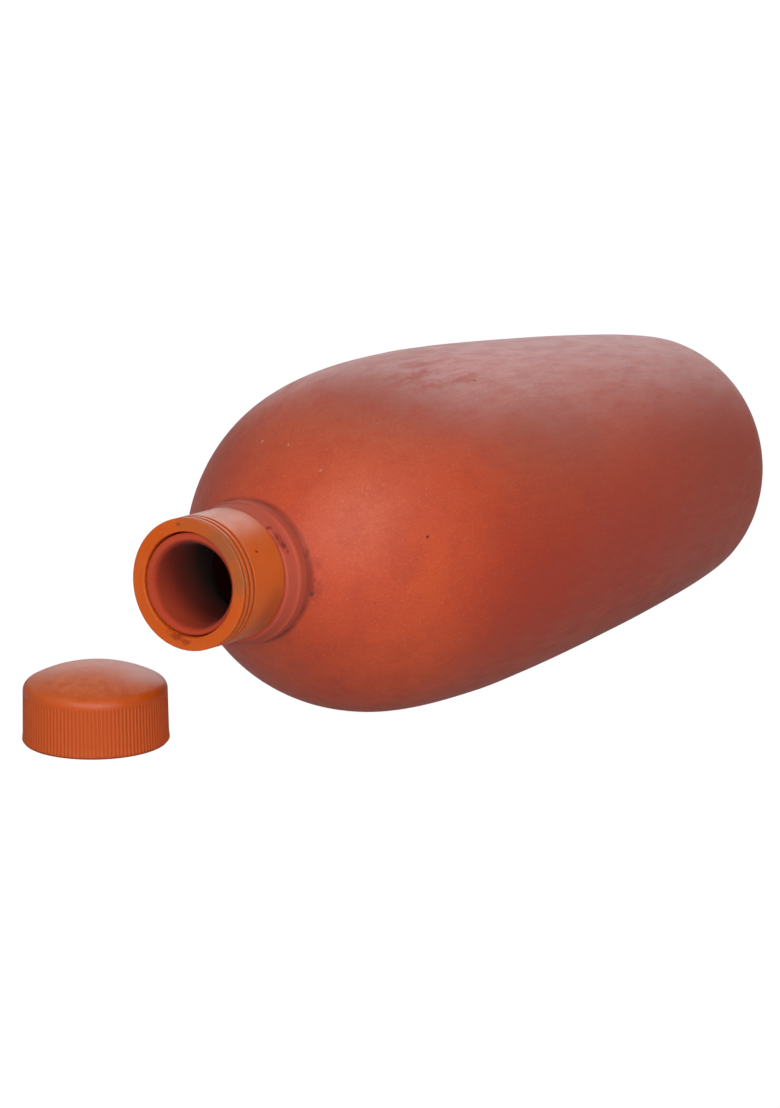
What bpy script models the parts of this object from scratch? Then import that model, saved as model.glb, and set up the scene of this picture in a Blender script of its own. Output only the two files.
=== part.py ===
# Clay water bottle lying on its side, with its screw cap standing beside the neck.
# Metres, +Z up. The mouth points towards -Y. Each piece is turned about its own upright axis.

import math

import bmesh
import bpy
from mathutils import Euler, Matrix, Vector
from mathutils.geometry import interpolate_bezier

# Clearance between two pieces that touch
FIT_GAP = 0.0003

# Fired clay body, measured upright from its foot
BELLY_RADIUS = 0.0486
BELLY_HEIGHT = 0.1389
FOOT_EDGE_RADIUS = 0.0378
FOOT_EDGE_RISE = 0.0138
FOOT_EDGE_REACH = 0.0107
FLANK_SLOPE = 0.185
FLANK_LOWER_PULL = 0.0274
FLANK_UPPER_PULL = 0.0147
SHOULDER_TOP_RADIUS = 0.0166
SHOULDER_TOP_HEIGHT = 0.2281
SHOULDER_ANGLE = math.radians(39.2)
SHOULDER_LOWER_PULL = 0.0438
SHOULDER_UPPER_PULL = 0.0479
CLAY_WALL = 0.0056

# Raised clay flange that the neck ring sits on, wider at its back than at its face
FLANGE_MARGIN = 0.0018
FLANGE_FACE_MARGIN = 0.0004
FLANGE_HEIGHT = 0.0052
FLANGE_EDGE_DROP = 0.0056
FLANGE_ROUND = 0.0011
FLANGE_FACE_ANGLE = 72
FLANGE_ROOT_REACH = 0.0038

# Clay neck inside the ring, its outside a little off the middle of the bore
THROAT_RADIUS = 0.0108
NECK_WALL = 0.0028
NECK_ASIDE = -0.0005
NECK_RAISED = 0.0005
THROAT_TAPER = 0.0060
THROAT_BLEND = 0.0028
LIP_THICKNESS = 0.0022
LIP_RECESS = 0.0010

# Threaded plastic ring round the neck
RING_WALL = 0.0025
RING_LENGTH = 0.0190
RING_LIP_LENGTH = 0.0030
RING_EDGE = 0.00025

# Bond between the ring and the neck, behind the ring's front lip
BOND_THICKNESS = 0.0008

# Thread shared by the ring and the cap
THREAD_PITCH = 0.0020
THREAD_DEPTH = 0.0005
THREAD_LENGTH = 0.0056
THREAD_MARGIN = 0.0004
THREAD_RUNOUT = 0.0008
THREAD_ROWS_PER_PITCH = 6

# Screw cap, standing on its open rim
CAP_WALL = 0.0021
CAP_HEIGHT = 0.0212
CAP_SHOULDER_HEIGHT = 0.0141
CAP_DRAFT = 0.0004
CAP_CORNER = 0.0029
CAP_CORNER_ANGLE = math.radians(24)
CAP_BORE_GAP = 0.0004
CAP_RIM_EDGE = 0.0004
CAP_DOME_WALL = 0.0018
CAP_SEAT_WIDTH = 0.0022
CAP_CEILING_HEIGHT = 0.0152
RIB_COUNT = 112
RIB_DEPTH = 0.00035
RIB_START = 0.0005
RIB_TOP = 0.0135
RIB_FADE = 0.0005

# Sealing disc under the cap's ceiling
LINER_THICKNESS = 0.0015
LINER_MARGIN = 0.0002
LINER_EDGE = 0.0003

# Where the cap stands, seen from above, from the centre of the mouth
CAP_ASIDE = 0.0514
CAP_BEHIND = 0.0290

# Share of a quarter round's radius at which a Bezier handle makes it round
ROUND_PULL = 0.5523

# Facets round each turned piece, half as many as the ribs, and points along each curve
COLUMNS = 56
CORNER_POINTS = 5
FLANK_POINTS = 9
SHOULDER_POINTS = 8
ROUND_STEPS = 3
SHARP_ANGLE = math.radians(40)

# Sizes that follow from the ones above
FLANGE_TOP = SHOULDER_TOP_HEIGHT + FLANGE_HEIGHT
NECK_RADIUS = THROAT_RADIUS + NECK_WALL
RING_BASE = FLANGE_TOP + FIT_GAP
MOUTH_HEIGHT = RING_BASE + RING_LENGTH
LIP_HEIGHT = MOUTH_HEIGHT - LIP_RECESS
FOOT_FLAT_RADIUS = FOOT_EDGE_RADIUS - FLANK_SLOPE * FOOT_EDGE_RISE - FOOT_EDGE_REACH
RING_BORE = NECK_RADIUS + FIT_GAP
BOND_INNER = NECK_RADIUS + FIT_GAP
BOND_OUTER = BOND_INNER + BOND_THICKNESS
RING_POCKET = BOND_OUTER + FIT_GAP
RING_RADIUS = RING_POCKET + RING_WALL
FLANGE_RADIUS = RING_RADIUS + FLANGE_MARGIN
CAP_BORE = RING_RADIUS + CAP_BORE_GAP
CAP_RADIUS = CAP_BORE + CAP_WALL
LINER_TOP = CAP_CEILING_HEIGHT - FIT_GAP
LINER_BASE = LINER_TOP - LINER_THICKNESS
LINER_RADIUS = CAP_BORE - LINER_MARGIN
UP = Vector((0, 0, 1))
ON_AXIS = (0, 0)


def curve(start, start_handle, end_handle, end, count):
    points = interpolate_bezier(start, start_handle, end_handle, end, count)
    return [(point.x, point.y) for point in points]


def arc(centre, radius, start_angle, end_angle, steps):
    points = []
    for step in range(steps + 1):
        angle = math.radians(start_angle + (end_angle - start_angle) * step / steps)
        points.append((centre[0] + radius * math.cos(angle), centre[1] + radius * math.sin(angle)))
    return points


def clay_flank():
    # From the flat of the foot up to the top of the shoulder, as (radius, height).
    foot = Vector((FOOT_FLAT_RADIUS, 0))
    edge = Vector((FOOT_EDGE_RADIUS, FOOT_EDGE_RISE))
    belly = Vector((BELLY_RADIUS, BELLY_HEIGHT))
    top = Vector((SHOULDER_TOP_RADIUS, SHOULDER_TOP_HEIGHT))
    rising = Vector((FLANK_SLOPE, 1))
    sloping = Vector((math.sin(SHOULDER_ANGLE), -math.cos(SHOULDER_ANGLE)))
    corner = curve(
        foot,
        foot + Vector((ROUND_PULL * FOOT_EDGE_REACH, 0)),
        edge - rising * ROUND_PULL * FOOT_EDGE_RISE,
        edge,
        CORNER_POINTS,
    )
    flank = curve(
        edge,
        edge + rising * FLANK_LOWER_PULL,
        belly - Vector((0, FLANK_UPPER_PULL)),
        belly,
        FLANK_POINTS,
    )
    shoulder = curve(
        belly,
        belly + Vector((0, SHOULDER_LOWER_PULL)),
        top + sloping * SHOULDER_UPPER_PULL,
        top,
        SHOULDER_POINTS,
    )
    return corner + flank[1:] + shoulder[1:]


def inset(points, distance):
    # The same curve moved square to itself, towards the axis.
    moved = []
    for index, point in enumerate(points):
        before = Vector(points[max(index - 1, 0)])
        after = Vector(points[min(index + 1, len(points) - 1)])
        along = (after - before).normalized()
        moved.append((point[0] - along.y * distance, point[1] + along.x * distance))
    return moved


def clay_outline():
    # Up the outside, over the lip and down the inside.
    outside = clay_flank()
    top_radius, top_height = outside[-1]
    root = (
        top_radius + math.sin(SHOULDER_ANGLE) * FLANGE_ROOT_REACH,
        top_height - math.cos(SHOULDER_ANGLE) * FLANGE_ROOT_REACH,
    )
    skin = [point for point in outside if point[1] < root[1]]
    edge_centre = (FLANGE_RADIUS - FLANGE_ROUND, FLANGE_TOP - FLANGE_EDGE_DROP)
    flange = [root] + arc(edge_centre, FLANGE_ROUND, 0, FLANGE_FACE_ANGLE, ROUND_STEPS)
    flange.append((RING_RADIUS + FLANGE_FACE_MARGIN, FLANGE_TOP))
    lip_round = LIP_THICKNESS / 2
    lip_centre = (NECK_RADIUS - lip_round, LIP_HEIGHT - lip_round)
    lip = arc(lip_centre, lip_round, 0, 180, 2 * ROUND_STEPS)
    inside = inset(outside, CLAY_WALL)
    foot_height = inside[0][1]
    cavity = [point for point in inside if point[0] > THROAT_RADIUS and point[1] > foot_height]
    throat = [
        (THROAT_RADIUS, LIP_HEIGHT - lip_round - THROAT_TAPER),
        (THROAT_RADIUS, cavity[-1][1] + THROAT_BLEND),
    ]
    neck = [(NECK_RADIUS, FLANGE_TOP)]
    return (
        [(0, 0)] + skin + flange + neck + lip + throat
        + cavity[::-1] + [(inside[0][0], foot_height), (0, foot_height)]
    )


def solid_centre(outline):
    # Height of the centre of mass of the solid turned from a closed outline.
    volume = 0
    moment = 0
    for (r0, z0), (r1, z1) in zip(outline, outline[1:]):
        rise = z1 - z0
        volume += rise * (r0 * r0 + r0 * r1 + r1 * r1) / 3
        mean = rise * (z0 * (3 * r0 * r0 + 2 * r0 * r1 + r1 * r1) + z1 * (r0 * r0 + 2 * r0 * r1 + 3 * r1 * r1))
        moment += mean / 12
    return moment / volume


def lying_pose(outline):
    # The bottle lies on the stretch of flank under its centre of mass: returns how far the
    # mouth end tips up, and how high the middle of the foot then is.
    centre = solid_centre(outline)
    flank = clay_flank()
    for low, high in zip(flank, flank[1:]):
        if low[1] <= centre < high[1]:
            tip = math.atan2(high[0] - low[0], high[1] - low[1])
    flat = math.cos(math.pi / COLUMNS)
    drops = [r * flat * math.cos(tip) - z * math.sin(tip) for r, z in outline]
    return tip, max(drops)


def round_row(radius, height, centre=ON_AXIS):
    return [radius] * COLUMNS, [height] * COLUMNS, centre


def groove(angle, height):
    # Depth of the right-hand thread's groove, from 0 to 1, at a height above its first turn.
    turn = height / THREAD_PITCH - angle / (2 * math.pi)
    wave = abs(2 * (turn % 1) - 1)
    ends = min(height, THREAD_LENGTH - height) / THREAD_RUNOUT
    return wave * min(max(ends, 0), 1)


def thread_rows(crest, depth, base_height, upwards):
    # Rows across the threaded length, cut in from the crest by depth at the groove.
    count = math.ceil(THREAD_LENGTH / THREAD_PITCH * THREAD_ROWS_PER_PITCH)
    rows = []
    for row in range(count + 1):
        height = THREAD_LENGTH * row / count
        radii = []
        for column in range(COLUMNS):
            angle = 2 * math.pi * (column + 0.5) / COLUMNS
            radii.append(crest + depth * groove(angle, height))
        rows.append((radii, [base_height + height] * COLUMNS, ON_AXIS))
    if upwards:
        return rows
    return rows[::-1]


def join_rows(mesh, lower, upper):
    # Faces between two rows of vertices. One row may have a whole number of times the other's.
    if len(lower) == 1 or len(upper) == 1:
        tip = lower[0] if len(lower) == 1 else upper[0]
        ring = upper if len(lower) == 1 else lower
        for index, vertex in enumerate(ring):
            mesh.faces.new((vertex, ring[(index + 1) % len(ring)], tip))
        return
    coarse, fine = sorted((lower, upper), key=len)
    ratio = len(fine) // len(coarse)
    for index, vertex in enumerate(coarse):
        following = coarse[(index + 1) % len(coarse)]
        run = [fine[(index * ratio + step) % len(fine)] for step in range(ratio + 1)]
        if ratio == 1:
            mesh.faces.new((vertex, following, run[1], run[0]))
            continue
        middle = ratio // 2
        for step in range(ratio):
            corner = vertex if step < middle else following
            mesh.faces.new((corner, run[step + 1], run[step]))
        mesh.faces.new((vertex, following, run[middle]))


def turn(name, rows, closed, frame, material):
    # A body turned about its axis from rows of radii, heights and a centre, with a point where
    # a radius is 0.
    mesh = bmesh.new()
    loops = []
    for radii, heights, centre in rows:
        if max(radii) == 0:
            loops.append([mesh.verts.new((0, 0, heights[0]))])
            continue
        loop = []
        for column, (radius, height) in enumerate(zip(radii, heights)):
            angle = 2 * math.pi * (column + 0.5) / len(radii)
            aside = centre[0] + radius * math.cos(angle)
            raised = centre[1] + radius * math.sin(angle)
            loop.append(mesh.verts.new((aside, raised, height)))
        loops.append(loop)
    pairs = list(zip(loops, loops[1:]))
    if closed:
        pairs.append((loops[-1], loops[0]))
    for lower, upper in pairs:
        join_rows(mesh, lower, upper)
    bmesh.ops.recalc_face_normals(mesh, faces=mesh.faces)
    data = bpy.data.meshes.new(name)
    mesh.to_mesh(data)
    mesh.free()
    data.shade_smooth()
    data.set_sharp_from_angle(angle=SHARP_ANGLE)
    data.materials.append(material)
    piece = bpy.data.objects.new(name, data)
    bpy.context.scene.collection.objects.link(piece)
    piece.parent = frame
    return piece


def finish(name, colour, roughness):
    material = bpy.data.materials.new(name)
    material.use_nodes = True
    shader = material.node_tree.nodes["Principled BSDF"]
    shader.inputs["Base Color"].default_value = (*colour, 1)
    shader.inputs["Roughness"].default_value = roughness
    shader.inputs["Metallic"].default_value = 0
    return material


def empty(name, location, rotation):
    frame = bpy.data.objects.new(name, None)
    bpy.context.scene.collection.objects.link(frame)
    frame.location = location
    frame.rotation_euler = rotation
    return frame


def neck_centre(radius, height):
    # The outside of the neck is off the axis, its hole is on it, and the lip goes over from one
    # to the other.
    if height < FLANGE_TOP or radius > NECK_RADIUS:
        return ON_AXIS
    share = max(radius - NECK_RADIUS + LIP_THICKNESS, 0) / LIP_THICKNESS
    return share * NECK_ASIDE, share * NECK_RAISED


def make_clay_body(frame, outline, material):
    rows = [round_row(radius, height, neck_centre(radius, height)) for radius, height in outline]
    return turn("clay_body", rows, False, frame, material)


def make_neck_ring(frame, material):
    # Up the bore from the pocket to the front lip, over the face and down the thread.
    lip_base = MOUTH_HEIGHT - RING_LIP_LENGTH
    thread_base = MOUTH_HEIGHT - THREAD_MARGIN - THREAD_LENGTH
    rows = [
        round_row(RING_RADIUS - RING_EDGE, RING_BASE),
        round_row(RING_POCKET, RING_BASE),
        round_row(RING_POCKET, lip_base),
        round_row(RING_BORE, lip_base),
        round_row(RING_BORE, MOUTH_HEIGHT - RING_EDGE),
        round_row(RING_BORE + RING_EDGE, MOUTH_HEIGHT),
        round_row(RING_RADIUS - RING_EDGE, MOUTH_HEIGHT),
    ]
    rows += thread_rows(RING_RADIUS, -THREAD_DEPTH, thread_base, False)
    rows.append(round_row(RING_RADIUS, RING_BASE + RING_EDGE))
    return turn("neck_ring", rows, True, frame, material)


def make_ring_adhesive(frame, material):
    base = RING_BASE
    top = MOUTH_HEIGHT - RING_LIP_LENGTH - FIT_GAP
    rows = [
        round_row(BOND_OUTER, base),
        round_row(BOND_INNER, base),
        round_row(BOND_INNER, top),
        round_row(BOND_OUTER, top),
    ]
    return turn("ring_adhesive", rows, True, frame, material)


def ribbed_row(radius, height):
    count = 2 * RIB_COUNT
    radii = [radius - RIB_DEPTH * (column % 2) for column in range(count)]
    return radii, [height] * count, ON_AXIS


def cap_dome():
    # Corner round and dome over the cap's side, from the corner to the crown, and the ceiling's dome.
    side_radius = CAP_RADIUS - CAP_DRAFT
    corner_centre = (side_radius - CAP_CORNER, CAP_SHOULDER_HEIGHT)
    corner = arc(corner_centre, CAP_CORNER, 0, 90 - math.degrees(CAP_CORNER_ANGLE), ROUND_STEPS + 1)
    start_radius, start_height = corner[-1]
    rise = CAP_HEIGHT - start_height
    dome_radius = (start_radius ** 2 + rise ** 2) / (2 * rise)
    dome = []
    for step in range(1, ROUND_STEPS + 1):
        radius = start_radius * (1 - step / (ROUND_STEPS + 1))
        height = CAP_HEIGHT - dome_radius + math.sqrt(dome_radius ** 2 - radius ** 2)
        dome.append((radius, height))
    ceiling = []
    inner_radius = dome_radius - CAP_DOME_WALL
    seat_radius = CAP_BORE - CAP_SEAT_WIDTH
    for step in range(ROUND_STEPS + 1):
        radius = seat_radius * (1 - step / (ROUND_STEPS + 1))
        height = CAP_HEIGHT - dome_radius + math.sqrt(inner_radius ** 2 - radius ** 2)
        ceiling.append((radius, height))
    crown = (0, CAP_HEIGHT)
    crown_inside = (0, CAP_HEIGHT - CAP_DOME_WALL)
    return corner + dome + [crown], [crown_inside] + ceiling[::-1]


def make_cap_shell(frame, material):
    # Crown, side, ribs and rim from the top down, then up the bore past the thread to the ceiling.
    outside, ceiling = cap_dome()
    rows = [round_row(radius, height) for radius, height in outside[::-1]]
    rows.append(round_row(CAP_RADIUS - CAP_DRAFT, RIB_TOP + RIB_FADE))
    rows.append(ribbed_row(CAP_RADIUS - CAP_DRAFT * RIB_TOP / CAP_SHOULDER_HEIGHT, RIB_TOP))
    rows.append(ribbed_row(CAP_RADIUS, RIB_START))
    rows.append(round_row(CAP_RADIUS - RIB_DEPTH, RIB_START - CAP_RIM_EDGE))
    rows.append(round_row(CAP_RADIUS - RIB_DEPTH - CAP_RIM_EDGE, 0))
    rows.append(round_row(CAP_BORE + CAP_RIM_EDGE, 0))
    rows.append(round_row(CAP_BORE, CAP_RIM_EDGE))
    thread_base = LINER_BASE - THREAD_MARGIN - THREAD_LENGTH
    rows += thread_rows(CAP_BORE, -THREAD_DEPTH - CAP_BORE_GAP + FIT_GAP, thread_base, True)
    rows.append(round_row(CAP_BORE, CAP_CEILING_HEIGHT))
    rows.append(round_row(CAP_BORE - CAP_SEAT_WIDTH, CAP_CEILING_HEIGHT))
    rows += [round_row(radius, height) for radius, height in ceiling[::-1]]
    return turn("cap_shell", rows, False, frame, material)


def make_cap_liner(frame, material):
    rows = [
        round_row(0, LINER_BASE),
        round_row(LINER_RADIUS - LINER_EDGE, LINER_BASE),
        round_row(LINER_RADIUS, LINER_BASE + LINER_EDGE),
        round_row(LINER_RADIUS, LINER_TOP - LINER_EDGE),
        round_row(LINER_RADIUS - LINER_EDGE, LINER_TOP),
        round_row(0, LINER_TOP),
    ]
    return turn("cap_liner", rows, False, frame, material)


def centre_on_origin(pieces, frames):
    # Moves the whole set so that its box is centred over the origin.
    bpy.context.view_layer.update()
    corners = [piece.matrix_world @ vertex.co for piece in pieces for vertex in piece.data.vertices]
    for axis in (0, 1):
        values = [corner[axis] for corner in corners]
        middle = (min(values) + max(values)) / 2
        for frame in frames:
            frame.location[axis] -= middle
    bpy.context.view_layer.update()


def build():
    for existing in list(bpy.data.objects):
        bpy.data.objects.remove(existing, do_unlink=True)

    clay = finish("burnished terracotta", (0.46, 0.095, 0.040), 0.48)
    ring_plastic = finish("ring plastic", (0.56, 0.120, 0.018), 0.42)
    cap_plastic = finish("cap plastic", (0.52, 0.105, 0.022), 0.40)
    bond = finish("cured adhesive", (0.30, 0.060, 0.030), 0.60)
    foam = finish("liner foam", (0.80, 0.78, 0.74), 0.75)

    outline = clay_outline()
    tip, foot_height = lying_pose(outline)
    lying = Euler((math.pi / 2 - tip, 0, 0))
    mouth_direction = Matrix.Rotation(math.pi / 2 - tip, 3, "X") @ UP
    bottle_frame = empty("bottle_frame", (0, 0, foot_height), lying)
    neck_frame = empty("neck_frame", (NECK_ASIDE, NECK_RAISED, 0), (0, 0, 0))
    neck_frame.parent = bottle_frame
    mouth = bottle_frame.location + mouth_direction * MOUTH_HEIGHT
    cap_place = (mouth.x - CAP_ASIDE, mouth.y + CAP_BEHIND, 0)
    cap_frame = empty("cap_frame", cap_place, (0, 0, 0))

    pieces = [
        make_clay_body(bottle_frame, outline, clay),
        make_neck_ring(neck_frame, ring_plastic),
        make_ring_adhesive(neck_frame, bond),
        make_cap_shell(cap_frame, cap_plastic),
        make_cap_liner(cap_frame, foam),
    ]
    centre_on_origin(pieces, (bottle_frame, cap_frame))

    mouth = bottle_frame.location + mouth_direction * MOUTH_HEIGHT
    print("tip", round(math.degrees(tip), 3), "centre of mass height", round(solid_centre(outline), 5))
    print("foot", [round(v, 6) for v in bottle_frame.location])
    print("mouth", [round(v, 6) for v in mouth], "direction", [round(v, 6) for v in mouth_direction])
    ring_centre = neck_frame.matrix_world @ (UP * MOUTH_HEIGHT)
    print("ring face centre", [round(v, 6) for v in ring_centre])
    print("cap", [round(v, 6) for v in cap_frame.location])


build()
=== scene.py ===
import math

import bmesh
import bpy
from mathutils import Euler, Matrix, Vector


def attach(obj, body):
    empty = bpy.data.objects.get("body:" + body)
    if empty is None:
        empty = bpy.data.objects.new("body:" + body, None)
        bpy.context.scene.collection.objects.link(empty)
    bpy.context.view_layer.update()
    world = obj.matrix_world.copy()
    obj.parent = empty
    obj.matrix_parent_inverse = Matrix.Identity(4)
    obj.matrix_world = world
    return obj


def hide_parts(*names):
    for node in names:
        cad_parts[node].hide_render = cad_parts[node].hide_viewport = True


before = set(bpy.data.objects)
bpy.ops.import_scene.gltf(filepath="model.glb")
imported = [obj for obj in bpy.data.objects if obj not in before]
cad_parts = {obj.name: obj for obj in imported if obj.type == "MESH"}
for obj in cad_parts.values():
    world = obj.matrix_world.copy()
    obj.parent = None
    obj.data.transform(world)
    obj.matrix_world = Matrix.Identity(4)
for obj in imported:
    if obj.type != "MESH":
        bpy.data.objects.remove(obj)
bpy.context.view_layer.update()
print("frame loaded")

# how the set lies, in metres and degrees: the middle of the bottle's foot, how far its mouth end tips
# up, how long it is, how far its neck stands off its axis, and where the cap stands
lie = {"foot": (0.011437, 0.125777, 0.039820), "tip": 3.7393, "mouth": 0.2526,
       "neckAside": (-0.0005, 0.0005), "capPlace": (-0.039963, -0.097285, 0)}
lyingTurn = (math.radians(90 - lie["tip"]), 0, 0)
bottlePlace = Matrix.Translation(lie["foot"]) @ Euler(lyingTurn).to_matrix().to_4x4()
neckPlace = bottlePlace @ Matrix.Translation((*lie["neckAside"], 0))
capPlace = Matrix.Translation(lie["capPlace"])

solidColumns = 56  # flats round the turned solids
flat = math.cos(math.pi / solidColumns)  # the smooth pieces stay inside those flats
whole = 1  # a step longer than any side, so that the side gets no rows of its own
weld = 0.000002  # points closer than this are one
perMetre = 1000  # millimetres in a metre, for patterns whose size is in millimetres


def addNode(tree, kind, settings=None, links=None, out=0):
    # adds a node, sets or links its inputs and returns one of its outputs
    node = tree.nodes.new(kind)
    for key, value in (settings or {}).items():
        setattr(node, key, value)
    for key, value in (links or {}).items():
        if isinstance(value, bpy.types.NodeSocket):
            tree.links.new(value, node.inputs[key])
        else:
            node.inputs[key].default_value = value
    return node.outputs[out] if len(node.outputs) else node


def linear(hexText):
    # sRGB hex to the linear colour that the shader takes
    parts = [int(hexText[i:i + 2], 16) / 255 for i in (1, 3, 5)]
    return (*[c / 12.92 if c <= 0.04045 else ((c + 0.055) / 1.055) ** 2.4 for c in parts], 1)


def bezier(start, startPull, endPull, end, count):
    points = []
    for i in range(count):
        t = i / (count - 1)
        weights = ((1 - t) ** 3, 3 * (1 - t) ** 2 * t, 3 * (1 - t) * t * t, t ** 3)
        handles = (start, startPull, endPull, end)
        points.append(tuple(sum(w * p[k] for w, p in zip(weights, handles)) for k in (0, 1)))
    return points


def roundedPath(corners, closed):
    # corners are (radius, height, rounding, mark, step between rows up to the next corner); gives
    # the profile's points as (radius, mark, height)
    sideShare = 0.49  # most of a side that a rounding may use
    arcStep = 0.26  # radians from row to row in a rounding
    path = []
    last = len(corners) - 1
    for i, (r, z, rounding, mark, step) in enumerate(corners):
        here = Vector((r, z))
        if rounding == 0 or (not closed and i in (0, last)):
            path.append((here, mark, step))
            continue
        back = Vector(corners[i - 1][:2]) - here
        onward = Vector(corners[(i + 1) % len(corners)][:2]) - here
        turn = math.pi - back.angle(onward)
        reach = min(rounding * math.tan(turn / 2), back.length * sideShare, onward.length * sideShare)
        start = here + back.normalized() * reach
        end = here + onward.normalized() * reach
        pull = 4 / 3 * math.tan(turn / 4) / math.tan(turn / 2)  # makes the curve a round arc
        pieces = max(3, round(turn / arcStep))
        curve = bezier(start, start.lerp(here, pull), end.lerp(here, pull), end, pieces + 1)
        for k, point in enumerate(curve):
            path.append((Vector(point), mark, step if k == pieces else whole))
    points = []
    for i, (here, mark, step) in enumerate(path):
        points.append((here.x, mark, here.y))
        if i + 1 == len(path) and not closed:
            break
        after, nextMark, _ = path[(i + 1) % len(path)]
        parts = max(1, math.ceil((after - here).length / step))
        for k in range(1, parts):
            share = k / parts
            between = here.lerp(after, share)
            points.append((between.x, mark + (nextMark - mark) * share, between.y))
    return points + points[:1] if closed else points


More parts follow.
